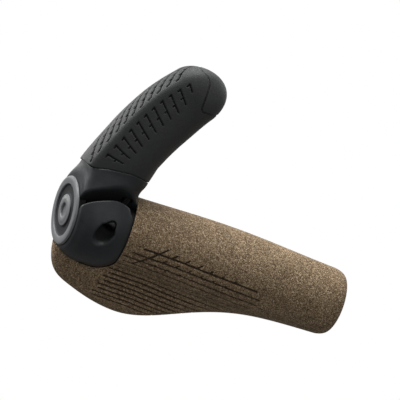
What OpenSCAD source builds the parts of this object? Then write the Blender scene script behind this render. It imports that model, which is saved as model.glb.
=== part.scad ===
// Handlebar grip with a built-in bar end, for the right-hand end of a bicycle handlebar.
// Origin: centre of the clamp on the bar's axis. +X runs along the bar towards the stem,
// +Z is the way the bar end leaves the clamp, and -Y is the fingers' side.

/* [Bar and sleeve] */
// Radius of the bore that takes the bar
bore_r = 11.15; // [11.12:0.01:11.2]
// Outer radius of the sleeve
sleeve_r = 12.4; // [12.3:0.05:12.5]
// Outboard end of the sleeve
sleeve_x0 = -4; // [-4:0.5:-2]
// Width of each slit in the clamped end of the sleeve
slit_w = 1.6; // [1:0.2:2]

/* [Cork body] */
// Inboard end of the grip
grip_x1 = 125; // [118:0.5:132]
// Radius of the cork at its thin ends
tube_r = 16.1; // [15.4:0.1:17]
// How far the middle of the tube swells
tube_swell = 2.4; // [0:0.1:3]
// How far the wing stands out of the tube
wing_reach = 22.6; // [16:0.1:26]
// Where the wing is widest, along the bar
wing_x = 25; // [20:0.5:30]
// Direction of the wing, in degrees from -Z towards +Y
wing_dir = 6; // [0:1:15]
// Round-over of the inboard end
end_round = 6; // [3:0.5:8]

/* [Clamp collar] */
// Radius of the ball-shaped collar
ball_r = 20.6; // [20:0.1:21]
// Running gap between the collar and the cork
ball_gap = 0.5; // [0.4:0.05:0.8]
// Width of the clamp's slot
slot_w = 4.6; // [3:0.1:5]
// Direction of the slot, in degrees from -Y towards +Z
slot_dir = 50; // [48:1:52]

/* [Bar end] */
// Height of the boundary between the bare neck and the rubber cover
cover_z = 25.2; // [24:0.2:27]
// Lean of the bar end where it leaves the neck, in degrees
horn_lean = 13.5; // [8:0.1:20]
// Radius of the bar end's curve
horn_bend_r = 128; // [100:1:200]
// Length of the curved part, up to the tip's round end
horn_len = 50.4; // [48:0.1:54]
// Half width of the bar end at the neck
neck_w = 16.5; // [15:0.1:17]
// Thickness of the rubber cover
cover_t = 2.4; // [1.8:0.1:3]
// Direction that the separate tip faces, in degrees from +Z towards +X
tip_turn = 86; // [80:1:90]

/* [End cap] */
// Radius of the cap's rim
cap_r = 16.2; // [15.8:0.1:16.5]
// Distance of the cap's centre from the clamp's centre
cap_x = 13.3; // [13:0.1:13.5]

/* [Hidden] */
$fn = 96;

// Colours
cork_colour = [0.42, 0.33, 0.22];
hard_colour = [0.16, 0.17, 0.18];
rubber_colour = [0.12, 0.125, 0.125];
steel_colour = [0.55, 0.56, 0.58];
brass_colour = [0.7, 0.56, 0.3];
grey_colour = [0.45, 0.46, 0.47];

// Cork body
wing_len_out = 50;
wing_len_in = 39;
swell_x = 64.7;
swell_len = 44;
palm_spread = 29;
palm_power = 2.7;
finger_spread = 18;
finger_power = 2.2;
wing_tip_x = -15.3;
wing_tip_power = 3.6;
wing_round_x = 1;
cork_x0 = -15.15;
end_drop = 2.6;
cork_ring_step = 4;
cork_sides = 60;
seat_gap_r = 17.2;

// Wing support rib
rib_t = 3;
rib_x0 = 22;
rib_x1 = 84;
rib_cover = 5.5;
rib_steps = 10;

// Clamp collar
ball_x = 1.8;
clamp_bore_r = sleeve_r + 0.05;
collar_x1 = 17.6;
slot_slant = 5;

// Clamp screw. Its axis starts at screw_mouth, on the collar's surface, and runs along screw_dir.
screw_mouth = [3.6, -19.9, 0.6];
screw_dir = [0.3, 0.6, 0.742];
head_r = 3;
head_h = 3.2;
head_top = 4;
washer_t = 0.8;
washer_r = 3.15;
recess_r = 3.3;
hole_gap = 0.25;
seat = head_top + head_h + washer_t;
shank_r = 1.97;
shank_l = 20;
key_r = 1.75;
insert_r = 2.5;
insert_top = 22;
insert_l = 5;

// End cap. Its outward normal is given by two turns of the -X direction.
cap_yaw = 12.3;
cap_dip = 5.2;
cap_depth = 4;
cap_plug_r = 14.4;
cap_recess_r = 14.5;
cap_lip = 0.8;
inlay_r = 12.2;
boss_r = 7.4;
hole_r = 3.3;

// Bar end loft
neck_x = 0.5;
cover_fall = 0.2;
neck_z0 = 9;
neck_rings = 8;
horn_rings = 16;
tip_rings = 6;
tip_r = 15;
tip_place = [24.8, 0, 74];
tip_peg_r = 4;
tip_peg_l = 6;
horn_sides = 32;
horn_power = 2.6;
core_stop = 14;

// ---------- helpers ----------

// Turns +Z to the bar's axis, +X
module along_bar() {
    rotate([0, 90, 0]) children();
}

// Turns +Z to the cap's outward normal and moves it to the cap's centre
module on_cap() {
    translate([-cap_x, 0, 0]) rotate([0, 0, cap_yaw]) rotate([0, -90 - cap_dip, 0]) children();
}

// Turns +Z to the screw's axis, with 0 at the mouth of its recess
module on_screw() {
    tilt = acos(screw_dir[2] / norm(screw_dir));
    turn = atan2(screw_dir[1], screw_dir[0]);
    translate(screw_mouth) rotate([0, tilt, turn]) children();
}

// Closed surface through rings of points, each ring with the same number of points
module loft(rings) {
    n = len(rings[0]);
    m = len(rings);
    points = [for (ring = rings) each ring];
    sides = [
        for (i = [0 : m - 2], k = [0 : n - 1])
            each [
                [i * n + k, (i + 1) * n + (k + 1) % n, i * n + (k + 1) % n],
                [i * n + k, (i + 1) * n + k, (i + 1) * n + (k + 1) % n]
            ]
    ];
    first = [for (k = [0 : n - 1]) k];
    last = [for (k = [n - 1 : -1 : 0]) (m - 1) * n + k];
    polyhedron(points = points, faces = concat(sides, [first, last]), convexity = 8);
}

// ---------- cork body ----------

function cork_tube_r(x) = tube_r + tube_swell * exp(-pow((x - swell_x) / swell_len, 2));
function wing_out(x) =
    wing_reach * exp(-pow((x - wing_x) / (x < wing_x ? wing_len_out : wing_len_in), 2));
// Share of the wing's reach at an angle d from the wing's direction
function wing_share(d) =
    d > 0 ? exp(-pow(d / palm_spread, palm_power)) : exp(-pow(-d / finger_spread, finger_power));
// Rounds the wing's outboard end
function outer_scale(x) =
    x > wing_round_x ? 1 :
    pow(1 - pow((wing_round_x - x) / (wing_round_x - wing_tip_x), wing_tip_power), 1 / wing_tip_power);
// Rounds the tube's inboard end
function end_fall(x) =
    let (t = max(0, 1 - (grip_x1 - x) / end_round)) end_drop * (1 - sqrt(1 - t * t));
// Radius at place x along the bar and at angle a from -Z towards +Y
function cork_r(x, a) =
    (cork_tube_r(x) + wing_out(x) * wing_share(a - wing_dir)) * outer_scale(x) - end_fall(x);
function cork_ring(x) = [
    for (k = [0 : cork_sides - 1])
        let (a = k * 360 / cork_sides - 180, r = cork_r(x, a)) [x, r * sin(a), -r * cos(a)]
];

module cork_body() {
    outboard = [for (t = [0, 0.06, 0.14, 0.25, 0.4, 0.6, 0.8]) cork_x0 + t * (wing_round_x - cork_x0)];
    middle = [for (x = [wing_round_x : cork_ring_step : grip_x1 - end_round - 1]) x];
    inboard = [for (t = [0, 0.35, 0.62, 0.82, 0.95, 1]) grip_x1 - end_round * (1 - t)];
    loft([for (x = concat(outboard, middle, inboard)) cork_ring(x)]);
}

// Room for the collar, which turns about the bar
module collar_room() {
    translate([ball_x, 0, 0]) sphere(r = ball_r + ball_gap);
    along_bar() translate([0, 0, -40]) cylinder(r = seat_gap_r, h = 40);
}

module cork_grip() {
    color(cork_colour) difference() {
        cork_body();
        along_bar() translate([0, 0, -40]) cylinder(r = sleeve_r, h = 200);
        collar_room();
        wing_rib();
    }
}

// ---------- sleeve and wing support ----------

module grip_sleeve() {
    length = grip_x1 - sleeve_x0;
    color(hard_colour) difference() {
        along_bar() translate([0, 0, sleeve_x0]) cylinder(r = sleeve_r, h = length);
        along_bar() translate([0, 0, sleeve_x0 - 1]) cylinder(r = bore_r, h = length + 2);
        for (turn = [0 : 90 : 270])
            rotate([turn + 45, 0, 0]) translate([sleeve_x0 - 1, 0, -slit_w / 2]) cube([18, 20, slit_w]);
    }
}

module wing_rib() {
    outer = [
        for (i = [0 : rib_steps])
            let (x = rib_x0 + i * (rib_x1 - rib_x0) / rib_steps)
                [x, cork_tube_r(x) + wing_out(x) - rib_cover]
    ];
    rotate([wing_dir - 90, 0, 0]) translate([0, 0, -rib_t / 2]) difference() {
        linear_extrude(rib_t) polygon(concat([[rib_x1, 10], [rib_x0, 10]], outer));
        for (x = [34, 50]) translate([x, 19, -1]) cylinder(r = 3, h = rib_t + 2);
    }
}

module wing_support() {
    color(hard_colour) difference() {
        wing_rib();
        along_bar() translate([0, 0, 0]) cylinder(r = sleeve_r, h = 120);
    }
}

// ---------- bar end loft ----------

function smooth(t) = let (u = min(1, max(0, t))) u * u * (3 - 2 * u);
// Signed power, for the bar end's squarish oval section
function oval(v) = sign(v) * pow(abs(v), 2 / horn_power);
// Half depth at arc length s past the neck
function horn_depth(s) = 13 - 2.6 * smooth(s / horn_len);
// Half width at arc length s past the neck
function horn_width(s) = neck_w - 1.6 * smooth(s / 15) - 1.9 * smooth((s - 34) / 24);
// Lean of the centreline, in degrees from +Z
function lean(s) = horn_lean + s / horn_bend_r * 180 / PI;
// Tilt of the section, which is level at the neck and square to the centreline further up
function tilt(s) = lean(s) * smooth(s / 18);
function centre(s) = [
    neck_x + horn_bend_r * (cos(horn_lean) - cos(lean(s))),
    0,
    cover_z + horn_bend_r * (sin(lean(s)) - sin(horn_lean))
];
// Section round a place: angle tilts it about Y, and fall lifts its -Y side
function section(place, angle, fall, w, d) = [
    for (k = [0 : horn_sides - 1])
        let (a = k * 360 / horn_sides, p = w * oval(cos(a)), q = d * oval(sin(a)))
            place + [p * cos(angle), q, -p * sin(angle) - q * fall]
];
function horn_fall(s) = cover_fall * (1 - smooth(s / 18));
function horn_ring(s, inset) =
    section(centre(s), tilt(s), horn_fall(s), horn_width(s) - inset, horn_depth(s) - inset);
// Neck section at height z: its edges flare from the collar to the cover
function neck_ring(z) =
    let (
        left = neck_x - neck_w - 0.22 * (cover_z - z),
        right = 12.5 + (neck_x + neck_w - 12.5) * smooth((z - 13) / (cover_z - 13)),
        depth = 15.2 - 2.2 * smooth((z - 12) / (cover_z - 12)),
        fall = cover_fall * smooth((z - 12) / (cover_z - 12))
    )
        section([(left + right) / 2, 0, z], 0, fall, (right - left) / 2, depth);
// Round end: t goes from 0 at the start of the tip's dome to 1 at its top
function dome_ring(t, inset) =
    let (
        s = horn_len,
        rise = (tip_r - inset) * sin(90 * t),
        shrink = cos(90 * t),
        ahead = [sin(lean(s)), 0, cos(lean(s))]
    )
        section(centre(s) + rise * ahead, tilt(s), 0, (horn_width(s) - inset) * shrink,
                (horn_depth(s) - inset) * shrink);

module neck_and_core() {
    neck = [for (i = [0 : neck_rings]) neck_ring(neck_z0 + i * (cover_z - neck_z0) / neck_rings)];
    core_end = horn_len - core_stop;
    core = [for (i = [0 : horn_rings]) horn_ring(i * core_end / horn_rings, cover_t)];
    loft(concat(neck, core));
}

// The space that the core fills inside the cover
module core_room() {
    core_end = horn_len - core_stop;
    below = [for (p = horn_ring(0, cover_t)) p - [0, 0, 2]];
    loft(concat([below], [for (i = [0 : horn_rings]) horn_ring(i * core_end / horn_rings, cover_t)]));
}

// Outer shape of the cover and the tip together
module horn_skin() {
    body = [for (i = [0 : horn_rings]) horn_ring(i * horn_len / horn_rings, 0)];
    dome = [for (i = [1 : tip_rings]) dome_ring(i / (tip_rings + 0.6), 0)];
    loft(concat(body, dome));
}

// Turns +Z to the way the tip faces, with 0 on the seam
module on_tip() {
    translate(tip_place) rotate([0, tip_turn, 0]) children();
}

module horn_cover() {
    color(rubber_colour) difference() {
        horn_skin();
        core_room();
        on_tip() translate([-40, -40, 0]) cube([80, 80, 60]);
        on_tip() translate([0, 0, -tip_peg_l]) cylinder(r = tip_peg_r, h = tip_peg_l + 1);
    }
}

module tip_cap() {
    color(rubber_colour) {
        intersection() {
            horn_skin();
            on_tip() translate([-40, -40, 0]) cube([80, 80, 60]);
        }
        on_tip() translate([0, 0, -tip_peg_l]) cylinder(r = tip_peg_r, h = tip_peg_l + 1);
    }
}

// ---------- clamp collar ----------

module collar_solid() {
    intersection() {
        translate([ball_x, 0, 0]) sphere(r = ball_r);
        on_cap() translate([-40, -40, -60]) cube([80, 80, 60]);
        translate([collar_x1 - 60, -30, -30]) cube([60, 60, 60]);
    }
    on_cap() translate([0, 0, -9]) cylinder(r = cap_r + 0.3, h = 9);
}

module clamp_slot() {
    rotate([90 - slot_dir, 0, 0]) rotate([0, 0, slot_slant])
        translate([-32, 0.4 - slot_w / 2, 9]) cube([64, slot_w, 16]);
}

module bar_end_core() {
    color(hard_colour) difference() {
        union() {
            collar_solid();
            neck_and_core();
        }
        along_bar() translate([0, 0, -30]) cylinder(r = clamp_bore_r, h = 60);
        on_cap() cylinder(r = cap_r + 0.5, h = 10);
        on_cap() translate([0, 0, -cap_depth]) cylinder(r = cap_recess_r, h = cap_depth + 1);
        clamp_slot();
        on_screw() translate([0, 0, -12]) cylinder(r = recess_r, h = 12 + seat);
        on_screw() cylinder(r = shank_r + hole_gap, h = head_top + head_h + shank_l + 1);
        on_screw() translate([0, 0, insert_top - 4]) cylinder(r = insert_r, h = insert_l + 4);
    }
}

// ---------- clamp hardware ----------

module threaded_insert() {
    color(brass_colour) on_screw() translate([0, 0, insert_top]) difference() {
        cylinder(r = insert_r, h = insert_l);
        translate([0, 0, -1]) cylinder(r = shank_r + 0.07, h = insert_l + 2);
    }
}

module screw_washer() {
    color(steel_colour) on_screw() translate([0, 0, seat - washer_t]) difference() {
        cylinder(r = washer_r, h = washer_t);
        translate([0, 0, -1]) cylinder(r = shank_r + 0.08, h = washer_t + 2);
    }
}

module clamp_screw() {
    color(steel_colour) on_screw() difference() {
        union() {
            translate([0, 0, head_top]) cylinder(r = head_r, h = head_h);
            translate([0, 0, head_top + 1]) cylinder(r = shank_r, h = head_h - 1 + shank_l);
        }
        translate([0, 0, head_top - 1]) cylinder(r = key_r, h = 3.2, $fn = 6);
    }
}

// ---------- end cap ----------

module cap_plug() {
    color(hard_colour) on_cap() difference() {
        translate([0, 0, -cap_depth + 0.1]) cylinder(r = cap_plug_r, h = cap_depth - 0.1);
        translate([0, 0, -cap_depth]) cylinder(r = cap_plug_r - 2, h = 2);
    }
}

module cap_ring() {
    color(grey_colour) on_cap() difference() {
        cylinder(r1 = cap_r, r2 = cap_r - 1.2, h = cap_lip + 0.6);
        translate([0, 0, -1]) cylinder(r = inlay_r, h = 5);
    }
}

module cap_inlay() {
    color(hard_colour) on_cap() difference() {
        cylinder(r = inlay_r, h = cap_lip);
        translate([0, 0, -1]) cylinder(r = boss_r, h = 5);
    }
}

module cap_boss() {
    color(grey_colour) on_cap() difference() {
        cylinder(r1 = boss_r, r2 = boss_r - 0.5, h = cap_lip + 0.9);
        translate([0, 0, 0.4]) cylinder(r = hole_r, h = 5);
    }
}

grip_sleeve();
cork_grip();
wing_support();
bar_end_core();
horn_cover();
tip_cap();
threaded_insert();
clamp_screw();
screw_washer();
cap_plug();
cap_ring();
cap_inlay();
cap_boss();
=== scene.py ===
"""Looks of a handlebar grip with a built-in bar end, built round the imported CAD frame.

Shapes are worked out in millimetres in the CAD's own frame: origin at the clamp's centre on the
bar's axis, +X towards the stem, +Z the way the bar end leaves the clamp, -Y the fingers' side.
"""

import math

import bpy
import numpy as np
from mathutils import Matrix, Vector


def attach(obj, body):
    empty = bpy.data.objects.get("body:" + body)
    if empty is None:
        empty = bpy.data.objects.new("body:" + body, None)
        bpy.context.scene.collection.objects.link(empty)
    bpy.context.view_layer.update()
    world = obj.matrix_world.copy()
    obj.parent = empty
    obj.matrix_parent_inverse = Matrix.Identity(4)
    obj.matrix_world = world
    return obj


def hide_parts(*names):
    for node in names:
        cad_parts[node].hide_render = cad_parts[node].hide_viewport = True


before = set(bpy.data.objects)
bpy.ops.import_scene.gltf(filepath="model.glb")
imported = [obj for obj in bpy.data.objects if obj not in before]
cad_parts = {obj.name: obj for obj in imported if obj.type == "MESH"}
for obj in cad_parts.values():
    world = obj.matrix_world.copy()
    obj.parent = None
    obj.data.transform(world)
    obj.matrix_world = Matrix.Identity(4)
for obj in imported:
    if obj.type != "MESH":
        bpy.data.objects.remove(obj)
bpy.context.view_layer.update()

MM = 0.001

# Cork body, a tube with a palm wing
GRIP_X1 = 125.0
TUBE_R, TUBE_SWELL, SWELL_X, SWELL_LEN = 16.1, 2.4, 64.7, 44.0
WING_REACH, WING_X, WING_LEN_OUT, WING_LEN_IN = 22.6, 25.0, 50.0, 39.0
WING_DIR = 6.0
PALM_SPREAD, PALM_POWER, FINGER_SPREAD, FINGER_POWER = 29.0, 2.7, 18.0, 2.2
WING_TIP_X, WING_ROUND_X, WING_TIP_POWER = -14.1, 1.0, 3.6
END_ROUND, END_DROP = 6.0, 2.6
SLEEVE_R = 12.4
FRONT = -90.0  # the angle of the -Y side, from -Z towards +Y

# Long grooves in the cork, and the slanted ticks on the first three
GROOVE_HALF, GROOVE_DEPTH = 0.58, 1.15
GROOVE_COUNT = 14
TICK_REACH = (4.5, 2.8, 2.6, 2.4, 1.3, 1.0, 0.8)
TICK_PITCH = 6.35

# Clamp collar
BALL_R, BALL_GAP, BALL_X = 20.6, 0.5, 1.0
BALL_HALF, BALL_ROUND = 18.6, 15.0
CLAMP_BORE_R, COLLAR_END_X = 12.45, 17.6
POCKET_R, POCKET_X = 17.2, -8.0  # the room for the collar in the wing's outboard end
SLOT_DIR = 53.0
COLLAR_STEP = 0.42  # grid step of the collar's mesh

# Clamp screw: MOUTH_R and RECESS_R are the two steps of the recess that its head lies in
SCREW_MOUTH = np.array([3.6, -19.9, 0.6])
SCREW_DIR = np.array([0.3, 0.6, 0.742])
HEAD_TOP, HEAD_H, WASHER_T = 4.0, 3.2, 0.8
SEAT = HEAD_TOP + HEAD_H + WASHER_T
HEAD_R, MOUTH_R, RECESS_R, KEY_R = 3.0, 4.0, 3.3, 1.75
SHANK_R, SHANK_L, PITCH, HOLE_L = 1.97, 20.0, 0.7, 27.8
INSERT_R, INSERT_TOP, INSERT_L = 2.5, 22.0, 5.0

# Bar end
COVER_Z, COVER_FALL, NECK_X, NECK_W = 25.2, 0.2, 0.5, 16.5
HORN_LEAN, HORN_BEND_R, HORN_LEN, HORN_POWER = 13.5, 128.0, 50.4, 2.6
TIP_R, TIP_SWEEP = 13.2, 2.8
CORE_STOP, COVER_T = 14.0, 2.4
RIDGE_AT, RIDGE_SPREAD, RIDGE_UP = 227.0, 13.0, 0.75
MARK_HALF, MARK_DEPTH, MARK_ROWS = 0.46, 0.75, 11
SEAM_X, SEAM_BEND_Z, SEAM_SWEEP, SEAM_LOW_Z, SEAM_CORNER = 25.2, 77.0, 6.3, 66.4, 2.0

# End cap
CAP_CENTRE = np.array([-13.3, 0.0, 0.0])
CAP_YAW, CAP_DIP, CAP_R, CAP_DEPTH, CAP_RECESS_R = 12.3, 5.2, 16.2, 4.0, 14.5


# ---------- meshes ----------

def unit(v):
    return v / np.linalg.norm(v)


def new_mesh(name, points, faces):
    """A mesh from points in millimetres."""
    mesh = bpy.data.meshes.new(name)
    mesh.from_pydata((np.asarray(points) * MM).tolist(), [], [list(f) for f in faces])
    return mesh


def add_object(name, mesh, material, body, stands_for, sharp):
    """A smooth object that rides on body and stands for a CAD node. Edges over sharp degrees stay sharp."""
    mesh.polygons.foreach_set("use_smooth", [True] * len(mesh.polygons))
    mesh.set_sharp_from_angle(angle=math.radians(sharp))
    mesh.materials.clear()
    mesh.materials.append(material)
    obj = bpy.data.objects.new(name, mesh)
    bpy.context.scene.collection.objects.link(obj)
    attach(obj, body)
    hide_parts(stands_for)


def add_shade_mask(mesh, hollow_shade_mask):
    """Stores how deep each point lies in a mark or hollow, from 0 to 1, as the mask of painted shade there.
    """
    attribute = mesh.attributes.new("hollow_shade_mask", "FLOAT", "POINT")
    attribute.data.foreach_set("value", hollow_shade_mask.ravel().astype(np.float32))


def loose(name, points, faces, hollow_shade_mask=None):
    """An object used only as a boolean operand. The optional mask is how deep a mark is at each point, from 0
    to 1, and sets painted shade there.
    """
    mesh = new_mesh(name, points, faces)
    if hollow_shade_mask is not None:
        add_shade_mask(mesh, hollow_shade_mask)
    obj = bpy.data.objects.new(name, mesh)
    bpy.context.scene.collection.objects.link(obj)
    return obj


def cut(base, cutters, operation="DIFFERENCE"):
    """The mesh of base after the cutters, which are deleted with it."""
    for cutter in cutters:
        mod = base.modifiers.new("cut", "BOOLEAN")
        mod.operation, mod.object, mod.solver = operation, cutter, "MANIFOLD"
    graph = bpy.context.evaluated_depsgraph_get()
    mesh = bpy.data.meshes.new_from_object(base.evaluated_get(graph))
    for obj in (base, *cutters):
        bpy.data.objects.remove(obj)
    return mesh


def tube_faces(rows, columns):
    """Quads of a closed tube of rings, wound outwards for rings that turn about the way they advance."""
    i, k = np.meshgrid(np.arange(rows - 1), np.arange(columns), indexing="ij")
    k1 = (k + 1) % columns
    quads = np.stack([i * columns + k, i * columns + k1, (i + 1) * columns + k1, (i + 1) * columns + k], -1)
    return quads.reshape(-1, 4).tolist()


def closed_loft(rings):
    """Points and faces of a solid through rings[m, n, 3], closed with flat ends."""
    m, n = rings.shape[:2]
    faces = tube_faces(m, n)
    faces.append(list(range(n - 1, -1, -1)))
    faces.append(list(range((m - 1) * n, m * n)))
    return rings.reshape(-1, 3), faces


def lathe(profile):
    """Points and faces of a solid of revolution about +Z from (radius, height) points that start and end
    on the axis, or close on themselves when they never reach it."""
    sides = 160
    profile = np.asarray(profile, float)
    turn = np.arange(sides) * 2 * math.pi / sides
    on_axis = profile[0, 0] < 1e-9
    body = profile[1:-1] if on_axis else profile
    rings = np.stack([np.outer(body[:, 0], np.cos(turn)), np.outer(body[:, 0], np.sin(turn)),
                      np.outer(body[:, 1], np.ones(sides))], -1)
    points = rings.reshape(-1, 3)
    faces = tube_faces(len(body), sides)
    top = (len(body) - 1) * sides
    if on_axis:
        low, high = len(points), len(points) + 1
        points = np.vstack([points, [0, 0, profile[0, 1]], [0, 0, profile[-1, 1]]])
        faces += [[(k + 1) % sides, k, low] for k in range(sides)]
        faces += [[top + k, top + (k + 1) % sides, high] for k in range(sides)]
    else:
        faces += [[top + k, top + (k + 1) % sides, (k + 1) % sides, k] for k in range(sides)]
    return points, faces


def arc(centre, radius, start, end, steps):
    """Points of an arc in a lathe profile, angles in degrees from the radial direction."""
    turn = np.radians(np.linspace(start, end, steps))
    return [(centre[0] + radius * math.cos(t), centre[1] + radius * math.sin(t)) for t in turn]


def placed(points, axis, origin):
    """Points turned so that +Z runs along axis, then moved to origin."""
    turn = np.array(Vector(axis).to_track_quat("Z", "Y").to_matrix())
    return np.asarray(points) @ turn.T + origin


def smooth(t):
    u = np.clip(t, 0, 1)
    return u * u * (3 - 2 * u)


def grid_normals(rings):
    """Outward normals of rings[m, n, 3] that close in n."""
    along = np.gradient(rings, axis=0)
    round_it = np.roll(rings, -1, 1) - np.roll(rings, 1, 1)
    normals = np.cross(round_it, along)
    return normals / np.maximum(np.linalg.norm(normals, axis=-1, keepdims=True), 1e-9)


def stroke_depth(u, v, strokes, half_width):
    """How deep the strokes cut at surface places (u, v), from 0 to 1. A stroke is (u0, v0, u1, v1)."""
    depth = np.zeros_like(u)
    for u0, v0, u1, v1 in strokes:
        du, dv = u1 - u0, v1 - v0
        near = (u > min(u0, u1) - 1) & (u < max(u0, u1) + 1) & (v > min(v0, v1) - 1) & (v < max(v0, v1) + 1)
        t = np.clip(((u[near] - u0) * du + (v[near] - v0) * dv) / (du * du + dv * dv), 0, 1)
        gap = np.hypot(u[near] - u0 - t * du, v[near] - v0 - t * dv)
        depth[near] = np.maximum(depth[near], 1 - smooth(gap / half_width))
    return depth


# ---------- implicit surfaces, for the moulded collar ----------

def soft_min(a, b, k):
    h = np.clip(0.5 + 0.5 * (b - a) / k, 0, 1)
    return b + (a - b) * h - k * h * (1 - h)


def soft_max(a, b, k):
    return -soft_min(-a, -b, k)


def surface_net(field, low, step):
    """Points and quads of the zero surface of a field sampled on a grid."""
    inside = field < 0
    shape = np.array(field.shape) - 1
    count = sum(inside[i:shape[0] + i, j:shape[1] + j, k:shape[2] + k].astype(np.int8)
                for i in (0, 1) for j in (0, 1) for k in (0, 1))
    cells = np.argwhere((count > 0) & (count < 8))
    ids = np.full(shape, -1, np.int32)
    ids[tuple(cells.T)] = np.arange(len(cells))
    total, hits = np.zeros((len(cells), 3)), np.zeros(len(cells))
    for axis in range(3):
        side_axes = [a for a in range(3) if a != axis]
        for b in (0, 1):
            for c in (0, 1):
                start = np.zeros(3, int)
                start[side_axes[0]], start[side_axes[1]] = b, c
                end = start.copy()
                end[axis] = 1
                f0, f1 = field[tuple((cells + start).T)], field[tuple((cells + end).T)]
                crossed = (f0 < 0) != (f1 < 0)
                share = np.where(crossed, f0 / np.where(crossed, f0 - f1, 1), 0)
                total += np.where(crossed[:, None], cells + start + share[:, None] * (end - start), 0)
                hits += crossed
    points = low + step * total / hits[:, None]
    quads = []
    for axis in range(3):
        b, c = (axis + 1) % 3, (axis + 2) % 3
        first = [slice(1, -1)] * 3
        second = [slice(1, -1)] * 3
        first[axis], second[axis] = slice(0, -1), slice(1, None)
        s0, s1 = inside[tuple(first)], inside[tuple(second)]
        edges = np.argwhere(s0 != s1)
        outward = s0[tuple(edges.T)]
        edges[:, b] += 1
        edges[:, c] += 1
        ring = []
        for db, dc in ((-1, -1), (0, -1), (0, 0), (-1, 0)):
            cell = edges.copy()
            cell[:, b] += db
            cell[:, c] += dc
            ring.append(ids[tuple(cell.T)])
        quad = np.stack(ring, 1)
        quads.append(np.where(outward[:, None], quad, quad[:, ::-1]))
    return points, np.concatenate(quads)


def settle(points, distance):
    """Moves points onto the zero surface of distance, in three steps."""
    reach = 0.02
    for _ in range(3):
        change = [distance(points + reach * e) - distance(points - reach * e) for e in np.eye(3)]
        gradient = np.stack(change, 1) / (2 * reach)
        size = np.maximum((gradient ** 2).sum(1), 0.2)
        points = points - np.clip(distance(points) / size, -0.3, 0.3)[:, None] * gradient
    return points


# ---------- materials ----------

class Nodes:
    """A small helper that builds one material's node tree."""

    def __init__(self, name):
        self.material = bpy.data.materials.new(name)
        self.material.use_nodes = True
        self.tree = self.material.node_tree
        self.tree.nodes.clear()
        self.shader = self.add("ShaderNodeBsdfPrincipled")
        output = self.add("ShaderNodeOutputMaterial")
        self.link(self.shader, "BSDF", output, "Surface")
        where = self.add("ShaderNodeTexCoord")
        grow = self.add("ShaderNodeMapping")
        grow.inputs["Scale"].default_value = (1 / MM, 1 / MM, 1 / MM)
        self.link(where, "Object", grow, "Vector")
        self.place = grow

    def add(self, kind, **values):
        made = self.tree.nodes.new(kind)
        for key, value in values.items():
            setattr(made, key, value)
        return made

    def link(self, a, out, b, into):
        self.tree.links.new(a.outputs[out], b.inputs[into])

    def noise(self, scale, detail=3.0, roughness=0.55):
        made = self.add("ShaderNodeTexNoise")
        made.inputs["Scale"].default_value = scale
        made.inputs["Detail"].default_value = detail
        made.inputs["Roughness"].default_value = roughness
        self.link(self.place, "Vector", made, "Vector")
        return made

    def cells(self, scale, feature="F1"):
        made = self.add("ShaderNodeTexVoronoi", feature=feature)
        made.inputs["Scale"].default_value = scale
        self.link(self.place, "Vector", made, "Vector")
        return made

    def ramp(self, source, out, stops):
        """A colour ramp with stops (place, colour or grey)."""
        made = self.add("ShaderNodeValToRGB")
        elements = made.color_ramp.elements
        while len(elements) < len(stops):
            elements.new(0.5)
        for element, (place, colour) in zip(elements, stops):
            element.position = place
            element.color = (*colour, 1) if isinstance(colour, tuple) else (colour, colour, colour, 1)
        self.link(source, out, made, "Fac")
        return made

    def mix(self, a, b, factor, kind="MIX"):
        """The colours of nodes a and b, mixed."""
        made = self.add("ShaderNodeMixRGB", blend_type=kind)
        self.link(a, "Color", made, "Color1")
        self.link(b, "Color", made, "Color2")
        made.inputs["Fac"].default_value = factor
        return made

    def bump(self, layers, distance, strength=1.0):
        """Chains bump layers (node, output, weight) into the shader's normal."""
        last = None
        for source, out, weight in layers:
            made = self.add("ShaderNodeBump")
            made.inputs["Distance"].default_value = distance * MM * weight
            made.inputs["Strength"].default_value = strength
            self.link(source, out, made, "Height")
            if last:
                self.link(last, "Normal", made, "Normal")
            last = made
        self.link(last, "Normal", self.shader, "Normal")

    def shade_mask_ramp(self, shallow, deep):
        """A grey that goes from shallow on the open surface to deep inside its marks and hollows, read from
        the painted-shade mask.
        """
        marks = self.add("ShaderNodeAttribute", attribute_name="hollow_shade_mask")
        return self.ramp(marks, "Fac", [(0.12, shallow), (0.6, deep)])

    def with_painted_shade(self, tone, dark):
        """The tone, multiplied by dark inside marks and hollows as painted shade."""
        return self.mix(tone, self.shade_mask_ramp(1.0, dark), 1.0, "MULTIPLY")

    def set(self, **values):
        for key, value in values.items():
            self.shader.inputs[key.replace("_", " ")].default_value = value


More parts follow.
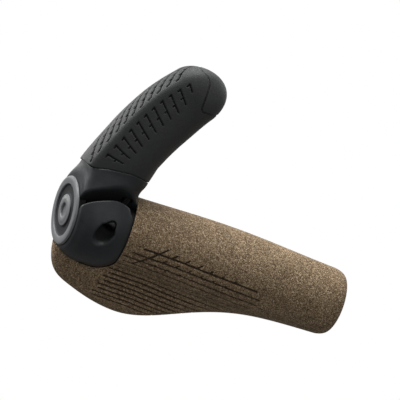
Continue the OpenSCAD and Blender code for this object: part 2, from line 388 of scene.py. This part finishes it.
def cork_material():
    """Ground cork in a dark binder: grains about 0.8 mm and 0.4 mm across, with painted shade inside the
    grooves and ticks.
    """
    n = Nodes("cork_rubber")
    coarse = n.cells(1.3)
    fine = n.cells(2.7)
    coarse_grain = n.add("ShaderNodeSeparateColor")
    n.link(coarse, "Color", coarse_grain, "Color")
    fine_grain = n.add("ShaderNodeSeparateColor")
    n.link(fine, "Color", fine_grain, "Color")
    stops = [(0.0, (0.05, 0.03, 0.015)), (0.22, (0.133, 0.082, 0.042)), (0.5, (0.235, 0.157, 0.086)),
             (0.8, (0.37, 0.262, 0.154)), (1.0, (0.67, 0.53, 0.35))]
    big = n.ramp(coarse_grain, "Red", stops)
    small = n.ramp(fine_grain, "Green", stops)
    grains = n.mix(big, small, 0.8)
    cloud = n.ramp(n.noise(0.09, 2.0), "Fac", [(0.3, 0.88), (0.7, 1.05)])
    base = n.mix(grains, cloud, 1.0, "MULTIPLY")
    binder_gap = n.ramp(n.cells(1.3, "DISTANCE_TO_EDGE"), "Distance", [(0.0, 0.5), (0.14, 1.0)])
    bound = n.mix(base, binder_gap, 0.6, "MULTIPLY")
    # Painted shade: the cork's colour is multiplied by 0.24 inside the grooves and ticks
    n.link(n.with_painted_shade(bound, 0.24), "Color", n.shader, "Base Color")
    rough = n.ramp(fine_grain, "Blue", [(0.0, 0.62), (1.0, 0.88)])
    n.link(rough, "Color", n.shader, "Roughness")
    n.set(Specular_IOR_Level=0.3)
    n.bump([(n.noise(3.0, 4.0), "Fac", 1.0), (fine, "Distance", 0.7), (binder_gap, "Color", 0.6)], 0.22, 0.8)
    return n.material


def moulded_material(name, colour, roughness, grain_scale, grain, specular=0.5, mottling=0.12, sheen=0.0,
                     dark=None):
    """Moulded plastic or rubber: fine grain, faint mottling and uneven gloss. Where dark is given, the tone
    is multiplied by it inside the marks and hollows as painted shade, and these are duller as well."""
    n = Nodes(name)
    low = tuple(c * (1 - mottling) for c in colour)
    high = tuple(c * (1 + mottling) for c in colour)
    tone = n.ramp(n.noise(0.35, 5.0, 0.65), "Fac", [(0.32, low), (0.68, high)])
    if dark is not None:
        tone = n.with_painted_shade(tone, dark)
    n.link(tone, "Color", n.shader, "Base Color")
    gloss = n.ramp(n.noise(0.9, 4.0), "Fac", [(0.3, roughness - 0.05), (0.7, roughness + 0.06)])
    if dark is not None:
        gloss = n.mix(gloss, n.shade_mask_ramp(0.0, 0.4), 1.0, "ADD")
    n.link(gloss, "Color", n.shader, "Roughness")
    n.set(Specular_IOR_Level=specular)
    if sheen:
        n.set(Sheen_Weight=sheen, Sheen_Roughness=0.5)
    n.bump([(n.noise(grain_scale, 3.0), "Fac", 1.0), (n.cells(grain_scale * 0.6), "Distance", 0.5)], grain)
    return n.material


def metal_material(name, colour, roughness):
    """Turned metal, whose fine lines are noise squeezed along X."""
    n = Nodes(name)
    n.place.inputs["Scale"].default_value = (6 / MM, 1 / MM, 1 / MM)
    low, high = tuple(c * 0.8 for c in colour), tuple(c * 1.15 for c in colour)
    tone = n.ramp(n.noise(1.5, 4.0), "Fac", [(0.3, low), (0.7, high)])
    n.link(tone, "Color", n.shader, "Base Color")
    gloss = n.ramp(n.noise(3.0), "Fac", [(0.3, roughness - 0.07), (0.7, roughness + 0.1)])
    n.link(gloss, "Color", n.shader, "Roughness")
    n.set(Metallic=1.0)
    n.bump([(n.noise(4.0, 3.0), "Fac", 1.0)], 0.03)
    return n.material


CORK = cork_material()
# The dark factor on each moulded material below is painted shade inside its marks and hollows
COMPOSITE = moulded_material("clamp_composite", (0.018, 0.0205, 0.0225), 0.43, 5.0, 0.03, 0.40, dark=0.25)
RUBBER = moulded_material("horn_rubber", (0.0205, 0.022, 0.022), 0.60, 3.2, 0.09, 0.42, sheen=0.12, dark=0.05)
TIP_RUBBER = moulded_material("tip_rubber", (0.0215, 0.023, 0.023), 0.58, 3.2, 0.08, 0.42,
                              sheen=0.12, dark=0.05)
SLEEVE = moulded_material("sleeve_plastic", (0.03, 0.03, 0.032), 0.45, 3.0, 0.04)
CAP_GREY = moulded_material("cap_grey", (0.17, 0.175, 0.18), 0.34, 4.0, 0.02, mottling=0.05)
CAP_DARK = moulded_material("cap_dark", (0.018, 0.019, 0.021), 0.62, 4.0, 0.04, 0.3)
BLACK_STEEL = metal_material("black_steel", (0.035, 0.035, 0.037), 0.45)
STEEL = metal_material("washer_steel", (0.5, 0.5, 0.51), 0.3)
BRASS = metal_material("insert_brass", (0.72, 0.5, 0.2), 0.32)


# ---------- cork body ----------

def cork_tube_r(x):
    return TUBE_R + TUBE_SWELL * np.exp(-((x - SWELL_X) / SWELL_LEN) ** 2)


def cork_r(x, angle):
    """Radius at place x along the bar and at an angle in degrees from -Z towards +Y."""
    length = np.where(x < WING_X, WING_LEN_OUT, WING_LEN_IN)
    wing = WING_REACH * np.exp(-((x - WING_X) / length) ** 2)
    off = angle - WING_DIR
    share = np.where(off > 0, np.exp(-(np.abs(off) / PALM_SPREAD) ** PALM_POWER),
                     np.exp(-(np.abs(off) / FINGER_SPREAD) ** FINGER_POWER))
    t = np.clip((WING_ROUND_X - x) / (WING_ROUND_X - WING_TIP_X), 0, 1)
    outer = (1 - t ** WING_TIP_POWER) ** (1 / WING_TIP_POWER)
    inner = np.clip(1 - (GRIP_X1 - x) / END_ROUND, 0, 1)
    return (cork_tube_r(x) + wing * share) * outer - END_DROP * (1 - np.sqrt(1 - inner * inner))


def cork_points(x, angle):
    r = cork_r(x, angle)
    a = np.radians(angle)
    return np.stack([x + 0 * r, r * np.sin(a), -r * np.cos(a)], -1)


def cork_angles():
    """Angles whose steps are short where the grooves are, measured round the widest section."""
    fine = np.linspace(-180, 180, 3601)
    ring = cork_points(np.full_like(fine, WING_X), fine)
    step = np.linalg.norm(np.diff(ring, axis=0), axis=1)
    middle = (fine[1:] + fine[:-1]) / 2
    grooved = (middle > FRONT - 8) & (middle < WING_DIR - 2)
    count = np.concatenate([[0], np.cumsum(step / np.where(grooved, 0.25, 1.0))])
    total = int(count[-1])
    return np.interp(np.arange(total) * count[-1] / total, count, fine)


def cork_places():
    out = np.linspace(WING_TIP_X + 0.12, 4, 26)
    mid = np.arange(4.6, 92, 0.5)
    rest = np.arange(93.2, GRIP_X1 - END_ROUND - 0.6, 1.3)
    end = GRIP_X1 - END_ROUND * (1 - np.sin(np.linspace(0, math.pi / 2, 12)))
    return np.concatenate([out, mid, rest, end])


def groove_drop(k):
    """How far below the bar's axis groove k runs: the steps shrink from 3.5 to 2.3 mm."""
    return 1.0 + 2.3 * k + 3.0 * (1 - math.exp(-k / 1.9))


def groove_depth(x, drop, steepness):
    """Depth of the long grooves, from 0 to 1, at surface places x, drop below the bar's axis."""
    depth = np.zeros_like(x)
    for k in range(GROOVE_COUNT):
        start = 24 - 3.6 * k if k < 2 else 17.5 - 0.5 * k + 1.5 * (k % 2)
        end = 81 + 3 * k if k < 2 else 84 - 3.0 * (k - 2) + 1.2 * (k % 2)
        line = groove_drop(k) + (0.037 + 0.006 * k) * np.maximum(0, x - 42 + 1.5 * min(k, 8))
        past_end = np.maximum(0, np.maximum(start - x, x - end))
        gap = np.hypot((drop - line) / np.maximum(steepness, 0.15), past_end)
        depth = np.maximum(depth, np.clip(1 - gap / GROOVE_HALF, 0, 1) ** 0.8)
    return depth


def tick_strokes():
    """Slanted ticks on the first three grooves, which shorten towards the stem."""
    strokes = []
    for k in range(3):
        for j, reach in enumerate(TICK_REACH):
            x = 31.2 - 3.4 * k + TICK_PITCH * j
            v = 1.0 + 3.7 * k + 0.025 * max(0, TICK_PITCH * j - 11)
            up = reach * (1 - 0.22 * k) * 0.75
            down = 2.9 * (j == 0)
            strokes.append((x - down, v + down, x + up, v - up))
    return strokes


def build_cork():
    angles, places = cork_angles(), cork_places()
    x, a = np.meshgrid(places, angles, indexing="ij")
    rings = cork_points(x, a)
    step = np.linalg.norm(np.roll(rings, -1, 1) - rings, axis=-1)
    run = np.cumsum(step, axis=1) - step
    front = np.argmin(np.abs(angles - FRONT))
    run = run - run[:, front:front + 1]
    steepness = np.abs(np.roll(rings[..., 2], -1, 1) - rings[..., 2]) / step
    depth = groove_depth(x, -rings[..., 2], steepness) * (np.abs(a - FRONT / 2) < 50)
    depth = np.maximum(depth, 0.9 * stroke_depth(x, run, tick_strokes(), GROOVE_HALF))
    depth = depth * smooth((WING_DIR - a) / 6)
    rings = rings - grid_normals(rings) * GROOVE_DEPTH * depth[..., None]
    # The groove and tick depth is also the mask of painted shade in them
    body = loose("cork_blank", *closed_loft(rings), depth)
    bore = loose("cork_bore", *placed_lathe([(0, -60), (SLEEVE_R, -60), (SLEEVE_R, 160), (0, 160)]))
    half, rounding = BALL_HALF + BALL_GAP, BALL_ROUND + BALL_GAP
    centre = (BALL_R + BALL_GAP - rounding, BALL_X + half - rounding)
    profile = [(0, BALL_X + half), *arc(centre, rounding, 90, 0, 24), (BALL_R + BALL_GAP, 0)]
    profile += [(POCKET_R, POCKET_X), (POCKET_R, -40), (0, -40)]
    room = loose("collar_room", *placed_lathe(profile[::-1]))
    add_object("grip_cork", cut(body, [bore, room]), CORK, "grip", "cork_grip", 50)


def placed_lathe(profile):
    """A lathe about the bar's axis."""
    points, faces = lathe(profile)
    return placed(points, (1, 0, 0), np.zeros(3)), faces


# ---------- clamp collar and neck ----------

def cap_normal():
    yaw, dip = math.radians(CAP_YAW), math.radians(CAP_DIP)
    return np.array([-math.cos(dip) * math.cos(yaw), -math.cos(dip) * math.sin(yaw), -math.sin(dip)])


CAP_N = cap_normal()
SCREW_N = unit(SCREW_DIR)


def along_and_off(p, origin, axis):
    rel = p - origin
    along = rel @ axis
    return along, np.linalg.norm(rel - along[..., None] * axis, axis=-1)


def rounded_rod(p, origin, axis, radius, low, high, rounding):
    """Distance to a cylinder with rounded edges."""
    along, off = along_and_off(p, origin, axis)
    a = off - (radius - rounding)
    b = np.abs(along - (low + high) / 2) - ((high - low) / 2 - rounding)
    return np.minimum(np.maximum(a, b), 0) + np.hypot(np.maximum(a, 0), np.maximum(b, 0)) - rounding


def neck_distance(p):
    """Distance to the neck, an oval that grows from the ball's top to the cover's edge."""
    x, y, z = p[..., 0], p[..., 1], p[..., 2] + COVER_FALL * p[..., 1] * smooth((p[..., 2] - 12) / 13)
    left = NECK_X - NECK_W - 0.22 * (COVER_Z - z)
    waist, end = 12.5, NECK_X + NECK_W
    right = waist + (end - waist) * smooth((z - 13) / (COVER_Z - 13)) + 0.35 * np.maximum(0, z - COVER_Z)
    depth = 15.2 - 2.2 * smooth((z - 12) / (COVER_Z - 12))
    w, mid = (right - left) / 2, (right + left) / 2
    ratio = (np.abs((x - mid) / w) ** HORN_POWER + np.abs(y / depth) ** HORN_POWER) ** (1 / HORN_POWER)
    side = (ratio - 1) * np.minimum(w, depth)
    return np.maximum(side, 6 - z)


def slot_distance(p):
    """Negative inside the clamp's slot, whose walls climb towards the stem and part at its end."""
    x, y, z = p[..., 0], p[..., 1], p[..., 2]
    turn = math.radians(SLOT_DIR)
    height = y * math.sin(turn) + z * math.cos(turn)
    climb = 0.54 * np.logaddexp(0, (np.array([4.7, 5.6])[:, None] - x.reshape(-1)) / 1.5)
    low = -2.0 - climb[0].reshape(x.shape) - 1.6 * smooth((x - 11) / 2) - 0.45 * np.maximum(0, x - 12.5)
    high = 3.0 - climb[1].reshape(x.shape)
    side = np.maximum(low - height, height - high)
    return np.maximum(np.maximum(side, 9 - np.hypot(y, z)), y + 1)


def cover_edge(x, y):
    """Height of the boundary between the neck and the rubber cover, which waves on the front."""
    wave = 1.2 * np.exp(-((x - 7) / 7) ** 2) - 1.6 * np.exp(-((x + 11) / 5) ** 2)
    return COVER_Z - COVER_FALL * y + smooth(-y / 10) * wave


def collar_outside(p):
    """Distance to the collar as if nothing were hollowed out of it."""
    bar, centre = np.array([1.0, 0, 0]), np.array([BALL_X, 0, 0])
    ball = rounded_rod(p, centre, bar, BALL_R, -BALL_HALF - 6, BALL_HALF, BALL_ROUND)
    seat = rounded_rod(p, CAP_CENTRE, CAP_N, CAP_R + 0.35, -9, 0.0, 0.5)
    cap_face = (p - CAP_CENTRE) @ CAP_N
    body = soft_min(soft_max(ball, cap_face, 8.0), seat, 4.0)
    body = soft_min(body, soft_max(neck_distance(p), cap_face, 5.0), 5.0)
    body = soft_max(body, cap_face, 0.8)
    body = soft_max(body, p[..., 2] - cover_edge(p[..., 0], p[..., 1]) + 0.06, 0.5)
    return soft_max(body, p[..., 0] - COLLAR_END_X, 0.8)


def collar_distance(p):
    """Distance to the collar with its bore, cap seat, slot and screw hole."""
    bore = CLAMP_BORE_R - np.hypot(p[..., 1], p[..., 2])
    body = soft_max(collar_outside(p), bore, 0.5)
    recess = rounded_rod(p, CAP_CENTRE, CAP_N, CAP_RECESS_R, -CAP_DEPTH, 10, 0.3)
    body = soft_max(body, -recess, 0.4)
    body = soft_max(body, -slot_distance(p), 1.0)
    mouth = rounded_rod(p, SCREW_MOUTH, SCREW_N, MOUTH_R, -14, HEAD_TOP - 1.2, 0.8)
    body = soft_max(body, -mouth, 0.9)
    head_room = rounded_rod(p, SCREW_MOUTH, SCREW_N, RECESS_R, -14, SEAT, 0.3)
    body = soft_max(body, -head_room, 0.9)
    hole = rounded_rod(p, SCREW_MOUTH, SCREW_N, SHANK_R + 0.25, 0, HOLE_L, 0.3)
    body = soft_max(body, -hole, 0.4)
    low, high = INSERT_TOP - 4, INSERT_TOP + INSERT_L
    insert_room = rounded_rod(p, SCREW_MOUTH, SCREW_N, INSERT_R + 0.02, low, high, 0.1)
    return soft_max(body, -insert_room, 0.3)


def build_collar():
    """The collar and neck, one half of what stands for the CAD core. The other half is the horn core."""
    low, high = np.array([-20.5, -21.8, -21.8]), np.array([19.2, 21.8, 29.6])
    axes = [np.arange(low[i], high[i], COLLAR_STEP) for i in range(3)]
    grid = np.stack(np.meshgrid(*axes, indexing="ij"), -1)
    field = collar_distance(grid)
    # The grid's outer faces count as outside, so that the surface closes
    for axis in range(3):
        ends = [slice(None)] * 3
        for end in (0, -1):
            ends[axis] = end
            field[tuple(ends)] = np.maximum(field[tuple(ends)], 0.5)
    points, quads = surface_net(field, low, COLLAR_STEP)
    points = settle(points, collar_distance)
    collar = new_mesh("clamp_collar", points, quads)
    # Painted shade in the bore, slot, cap seat and screw recess, growing with depth below the outer skin
    add_shade_mask(collar, smooth((-collar_outside(points) - 0.6) / 3))
    add_object("clamp_collar", collar, COMPOSITE, "bar_end", "bar_end_core", 60)


# ---------- bar end ----------

def lean(s):
    return np.radians(HORN_LEAN) + s / HORN_BEND_R


def centre_line(s):
    start = math.radians(HORN_LEAN)
    return np.stack([NECK_X + HORN_BEND_R * (math.cos(start) - np.cos(lean(s))), 0 * s,
                     COVER_Z + HORN_BEND_R * (np.sin(lean(s)) - math.sin(start))], -1)


def oval(v):
    """A cosine or sine, turned into that of an oval with squarer corners."""
    return np.sign(v) * np.abs(v) ** (2 / HORN_POWER)


def horn_points(s, angle, dome):
    """Skin of the bar end at arc length s, section angle in degrees and dome share from 0 to 1. The dome
    leans inboard by up to TIP_SWEEP."""
    w = NECK_W - 1.6 * smooth(s / 15) - 1.3 * smooth((s - 34) / 24)
    d = 13 - 2.6 * smooth(s / HORN_LEN)
    shrink, rise = np.cos(dome * math.pi / 2), TIP_R * np.sin(dome * math.pi / 2)
    a = np.radians(angle)
    p, q = w * oval(np.cos(a)), d * oval(np.sin(a))
    off = (angle - RIDGE_AT) / RIDGE_SPREAD
    ridge = RIDGE_UP * (np.exp(-off ** 2) - 0.4 * np.exp(-(off - 2.1) ** 2)) * (1 - smooth((s - 40) / 14))
    size = np.hypot(p, q)
    p, q = p * (1 + ridge / size) * shrink, q * (1 + ridge / size) * shrink
    tilt = lean(s) * smooth(s / 18)
    fall = COVER_FALL * (1 - smooth(s / 18))
    c = centre_line(s) + rise[..., None] * np.stack([np.sin(lean(s)), 0 * s, np.cos(lean(s))], -1)
    c = c + TIP_SWEEP * np.stack([(rise / TIP_R) ** 2, 0 * s, 0 * s], -1)
    lift = (cover_edge(NECK_X + p, q) - COVER_Z + COVER_FALL * q) * (1 - smooth(s / 14))
    return c + np.stack([p * np.cos(tilt), q, -p * np.sin(tilt) - q * fall + lift], -1)


def build_horn_core():
    """The hard core under the rubber, COVER_T inside the skin."""
    s = np.concatenate([[-0.9], np.linspace(0, HORN_LEN - CORE_STOP, 40)])
    sg, ag = np.meshgrid(s, np.linspace(0, 360, 96, endpoint=False), indexing="ij")
    skin = horn_points(sg, ag, np.zeros_like(sg))
    inward = skin.mean(axis=1, keepdims=True) - skin
    core = skin + inward * COVER_T / np.linalg.norm(inward, axis=-1, keepdims=True)
    core[:, :, 2] -= 0.15
    mesh = new_mesh("horn_core", *closed_loft(core))
    add_object("horn_core", mesh, COMPOSITE, "bar_end", "bar_end_core", 60)


def chain(along, across, legs, leg, way, bar):
    """Marks in a row: each is a leg along way, with a short bar across its head on the neck's side."""
    strokes = []
    for k in range(legs):
        a, c = along + k * leg * way[0], across + k * leg * way[1]
        strokes.append((a, c, a + 0.86 * leg * way[0], c + 0.86 * leg * way[1]))
        strokes.append((a - bar, c + 0.3 * bar, a + 0.1, c))
    return strokes


def horn_strokes():
    """Chains of T marks on the broad front face, and slanting chains on the narrow outboard face."""
    strokes = []
    for i in range(MARK_ROWS):
        legs, leg = {9: (2, 4.0), 10: (1, 4.4)}.get(i, (2, 4.9))
        strokes += chain(6.9 + 4.45 * i, 3.0, legs, leg, (-0.23, 0.97), 1.2)
        strokes += chain(3.0 + 4.6 * i, -1.9, 4, 3.5, (0.7, -0.71), 1.4)
    return strokes


def horn_angles():
    """Section angles with short steps on the two patterned faces."""
    fine = np.linspace(0, 360, 7201)
    ring = horn_points(np.full_like(fine, 20.0), fine, np.zeros_like(fine))
    step = np.linalg.norm(np.diff(ring, axis=0), axis=1)
    middle = (fine[1:] + fine[:-1]) / 2
    patterned = (middle > 140) & (middle < 315)
    count = np.concatenate([[0], np.cumsum(step / np.where(patterned, 0.34, 1.0))])
    total = int(count[-1])
    return np.interp(np.arange(total) * count[-1] / total, count, fine)


def horn_rings():
    """Skin rings with their marks, from the cover's edge to the top of the dome, and the mask of painted
    shade in the marks and the seam groove.
    """
    flat = np.concatenate([[0, 0.12, 0.3, 0.55], np.arange(0.85, HORN_LEN, 0.36)])
    dome = np.linspace(0, 0.985, 60)
    s = np.concatenate([flat, np.full(len(dome), HORN_LEN)])
    share = np.concatenate([np.zeros(len(flat)), dome])
    angles = horn_angles()
    sg, ag = np.meshgrid(s, angles, indexing="ij")
    dg = np.meshgrid(share, angles, indexing="ij")[0]
    rings = horn_points(sg, ag, dg)
    step = np.linalg.norm(np.roll(rings, -1, 1) - rings, axis=-1)
    run = np.cumsum(step, axis=1) - step
    ridge = np.argmin(np.abs(angles - RIDGE_AT))
    across = run - run[:, ridge:ridge + 1]
    along = sg + dg * TIP_R * 1.3
    marks = stroke_depth(along, across, horn_strokes(), MARK_HALF) * (seam_side(rings) < -1)
    edge = 1 - smooth(sg / 0.4)
    seam = 1 - smooth(np.abs(seam_side(rings)) / 0.6)
    depth = MARK_DEPTH * marks + 0.35 * seam + 0.3 * edge
    return rings - grid_normals(rings) * depth[..., None], np.maximum(marks, seam)


def seam_x(z):
    """The tip's seam runs straight up the front and back faces, then curves outboard over the top."""
    return SEAM_X - SEAM_SWEEP * (np.maximum(0, z - SEAM_BEND_Z) / 7) ** 3


def seam_side(p):
    """Distance past the seam, above 0 on the tip. The seam turns inboard at its lower end, SEAM_LOW_Z."""
    across = SEAM_CORNER - (p[..., 0] - seam_x(p[..., 2]))
    below = SEAM_CORNER - (p[..., 2] - SEAM_LOW_Z)
    return SEAM_CORNER - np.hypot(np.maximum(0, across), np.maximum(0, below))


def seam_block():
    """A closed block along Y that holds everything past the seam."""
    corner = arc((SEAM_X + SEAM_CORNER, SEAM_LOW_Z + SEAM_CORNER), SEAM_CORNER, 270, 180, 10)
    upper = [(seam_x(z), z) for z in np.linspace(SEAM_BEND_Z, 89, 25)]
    outline = [(60, SEAM_LOW_Z), *corner, *upper, (60, 89)]
    return closed_loft(np.array([[(x, y, z) for x, z in outline] for y in (-25, 25)]))


def build_horn():
    """The rubber cover and the tip: one skin, parted at the seam."""
    rings, hollow_shade_mask = horn_rings()
    skin = closed_loft(rings)
    cover = cut(loose("cover_blank", *skin, hollow_shade_mask), [loose("past_seam", *seam_block())])
    tip = cut(loose("tip_blank", *skin, hollow_shade_mask), [loose("tip_block", *seam_block())], "INTERSECT")
    add_object("horn_rubber", cover, RUBBER, "bar_end", "horn_cover", 60)
    add_object("horn_tip", tip, TIP_RUBBER, "bar_end", "tip_cap", 60)


# ---------- end cap ----------

def cap_piece(name, profile, material, stands_for):
    points, faces = lathe(profile)
    mesh = new_mesh(name, placed(points, CAP_N, CAP_CENTRE), faces)
    add_object(name, mesh, material, "end_cap", stands_for, 35)


def build_cap():
    """Four turned shapes, each a profile of (radius, height above the cap's face)."""
    ring = [(12.25, 0.02), (15.9, 0.02), *arc((15.75, 0.42), 0.42, -70, 60, 8),
            *arc((14.6, -2.3), 3.75, 71, 98, 8), *arc((12.65, 1.0), 0.35, 100, 180, 6)]
    cap_piece("cap_rim_ring", ring, CAP_GREY, "cap_ring")
    inlay = [(7.4, 0.0), (12.15, 0.0), (12.15, 0.45), *arc((11.4, 1.3), 0.9, -40, -90, 5), (9.9, 0.3),
             *arc((8.15, 1.1), 0.8, -90, -170, 6)]
    cap_piece("cap_recess", inlay, CAP_DARK, "cap_inlay")
    boss = [(0, 0.1), (7.1, 0.1), *arc((6.95, 0.9), 0.4, -20, 75, 6), *arc((4.9, -1.0), 2.65, 60, 95, 6),
            *arc((3.75, 1.2), 0.4, 100, 180, 5), (3.3, 0.5), (2.9, 0.42), (0, 0.42)]
    cap_piece("cap_hub", boss, CAP_GREY, "cap_boss")
    plug = [(0, -3.4), (11.6, -3.4), (12.2, -3.85), (13.9, -3.85), *arc((13.9, -3.4), 0.45, -60, 0, 4),
            (14.35, -2.2), *arc((14.15, -1.9), 0.3, -60, 60, 5), (14.35, -1.5), (14.35, -0.1), (0, -0.1)]
    cap_piece("cap_plug_body", plug, CAP_DARK, "cap_plug")


# ---------- clamp hardware ----------

def build_screw():
    """Socket screw with a knurled head and a real helical thread."""
    sides, knurls = 144, 36
    angle = np.arange(sides) * 2 * math.pi / sides
    knurled = np.linspace(0.7, HEAD_H - 0.35, 5)
    heights = np.concatenate([[0.0, 0.12, 0.3, 0.5], knurled, [HEAD_H - 0.2, HEAD_H]])
    reach = HEAD_R - np.array([0.55, 0.3, 0.14, 0.05, *([0.0] * 5), 0.08, 0.3])
    ribs = np.array([0, 0, 0, 0.5, *([1.0] * 5), 0.4, 0])
    radius = reach[:, None] - 0.13 * ribs[:, None] * (0.5 - 0.5 * np.cos(knurls * angle))[None]
    head_z = HEAD_TOP + heights[:, None] + 0 * radius
    head = np.stack([radius * np.cos(angle), radius * np.sin(angle), head_z], -1)
    shank_z = HEAD_TOP + HEAD_H + np.arange(0.05, SHANK_L, 0.1)
    phase = (shank_z[:, None] / PITCH - angle[None] / (2 * math.pi)) % 1
    thread = SHANK_R - 0.36 * np.abs(2 * phase - 1)
    plain = 1 - smooth((shank_z - shank_z[0] - 3) / 1.0)
    thread = thread * (1 - plain[:, None]) + (SHANK_R - 0.03) * plain[:, None]
    thread = np.minimum(thread, 1.35 + np.maximum(0, shank_z[-1] - shank_z)[:, None])
    shank = np.stack([thread * np.cos(angle), thread * np.sin(angle), shank_z[:, None] + 0 * thread], -1)
    points, faces = closed_loft(np.concatenate([head, shank]))
    blank = loose("screw_blank", placed(points, SCREW_N, SCREW_MOUTH), faces)
    hexagon = np.radians(np.arange(6) * 60 + 10)
    key = np.stack([[(KEY_R * math.cos(t), KEY_R * math.sin(t), h) for t in hexagon]
                    for h in (HEAD_TOP - 1, HEAD_TOP + 2.2)])
    key_points, key_faces = closed_loft(key)
    mesh = cut(blank, [loose("key_hole", placed(key_points, SCREW_N, SCREW_MOUTH), key_faces)])
    add_object("socket_screw", mesh, BLACK_STEEL, "screw", "clamp_screw", 30)


def dress_cad_nodes():
    """The nodes whose CAD shape is right keep it and get a finished material."""
    finishes = {"grip_sleeve": SLEEVE, "wing_support": SLEEVE,
                "threaded_insert": BRASS, "screw_washer": STEEL}
    for name, material in finishes.items():
        for mesh_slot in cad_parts[name].material_slots:
            mesh_slot.material = material


# ---------- stage ----------

# The camera's right and backward directions, its turn about its own axis in degrees, and where it stands
# from the cap's centre, to its right, up and back
CAMERA_RIGHT = np.array([0.920, -0.158, 0.359])
CAMERA_BACK = np.array([-0.242, -0.949, 0.202])
CAMERA_ROLL = 1.25
CAMERA_PLACE = (61.6, 4.7, 645.0)
CAMERA_LENS, SENSOR = 126.0, 36.0
LIGHT_TARGET = np.array([0.045, 0, 0.02])  # in metres, like all that follows


def camera_axes():
    """The camera's right, up and back, square to each other."""
    right = unit(CAMERA_RIGHT)
    back = unit(CAMERA_BACK - CAMERA_BACK @ right * right)
    up = np.cross(back, right)
    c, s = math.cos(math.radians(CAMERA_ROLL)), math.sin(math.radians(CAMERA_ROLL))
    return c * right + s * up, c * up - s * right, back


def build_camera():
    right, up, back = camera_axes()
    data = bpy.data.cameras.new("photo_camera")
    data.lens, data.sensor_width = CAMERA_LENS, SENSOR
    data.clip_start, data.clip_end = 0.01, 100
    camera = bpy.data.objects.new("photo_camera", data)
    place = (CAP_CENTRE + CAMERA_PLACE[0] * right + CAMERA_PLACE[1] * up + CAMERA_PLACE[2] * back) * MM
    turn = Matrix([[right[i], up[i], back[i]] for i in range(3)]).to_4x4()
    camera.matrix_world = Matrix.Translation(Vector(place)) @ turn
    bpy.context.scene.collection.objects.link(camera)
    bpy.context.scene.camera = camera


def area_light(name, direction, distance, size, power):
    """A soft box that looks at the middle of the grip. direction is (right, up, back) for the camera."""
    right, up, back = camera_axes()
    way = unit(direction[0] * right + direction[1] * up + direction[2] * back)
    data = bpy.data.lights.new(name, "AREA")
    data.shape, data.size, data.size_y = "RECTANGLE", size[0], size[1]
    data.energy = power
    light = bpy.data.objects.new(name, data)
    light.location = Vector(LIGHT_TARGET + way * distance)
    light.visible_camera = False
    light.rotation_mode = "QUATERNION"
    light.rotation_quaternion = Vector(way).to_track_quat("Z", "Y")
    bpy.context.scene.collection.objects.link(light)


def glow_material(name, bright, dim):
    """White where it is looked at, and dim as a source of light on the object."""
    material = bpy.data.materials.new(name)
    material.use_nodes = True
    tree = material.node_tree
    tree.nodes.clear()
    add_glow(tree, "ShaderNodeEmission", "ShaderNodeOutputMaterial", bright, dim)
    return material


def add_glow(tree, shader_kind, output_kind, bright, dim):
    """A white glow that is bright where the camera sees it and dim for everything else."""
    path = tree.nodes.new("ShaderNodeLightPath")
    seen, unseen = tree.nodes.new(shader_kind), tree.nodes.new(shader_kind)
    seen.inputs["Color"].default_value = (1, 1, 1, 1)
    unseen.inputs["Color"].default_value = (1, 1, 1, 1)
    seen.inputs["Strength"].default_value = bright
    unseen.inputs["Strength"].default_value = dim
    mix, output = tree.nodes.new("ShaderNodeMixShader"), tree.nodes.new(output_kind)
    tree.links.new(path.outputs["Is Camera Ray"], mix.inputs["Fac"])
    tree.links.new(unseen.outputs[0], mix.inputs[1])
    tree.links.new(seen.outputs[0], mix.inputs[2])
    tree.links.new(mix.outputs[0], output.inputs["Surface"])


def build_stage():
    scene = bpy.context.scene
    scene.view_settings.view_transform = "Standard"
    scene.view_settings.look = "None"
    world = bpy.data.worlds.new("studio")
    world.use_nodes = True
    world.node_tree.nodes.clear()
    add_glow(world.node_tree, "ShaderNodeBackground", "ShaderNodeOutputWorld", 1.0, 0.35)
    scene.world = world
    half, height = 6.0, -0.16
    corners = [(-half, -half, height), (half, -half, height), (half, half, height), (-half, half, height)]
    mesh = bpy.data.meshes.new("floor")
    mesh.from_pydata(corners, [], [(0, 1, 2, 3)])
    mesh.materials.append(glow_material("pale_floor", 1.0, 0.19))
    floor = bpy.data.objects.new("floor", mesh)
    scene.collection.objects.link(floor)
    area_light("key", (-0.9, 0.9, -0.1), 0.8, (0.5, 0.5), 6.0)
    area_light("top", (0.15, 1.0, 0.12), 0.8, (0.9, 0.5), 9.0)
    area_light("front_fill", (0.5, 0.1, 1.0), 1.2, (0.8, 0.8), 1.2)
    area_light("back_left", (-0.62, 0.25, -0.8), 0.95, (0.5, 0.6), 1.3)
    area_light("back_right", (0.75, 0.3, -0.65), 1.0, (0.5, 0.6), 0.9)


build_camera()
build_cork()
build_collar()
build_horn_core()
build_horn()
build_cap()
build_screw()
dress_cad_nodes()
build_stage()
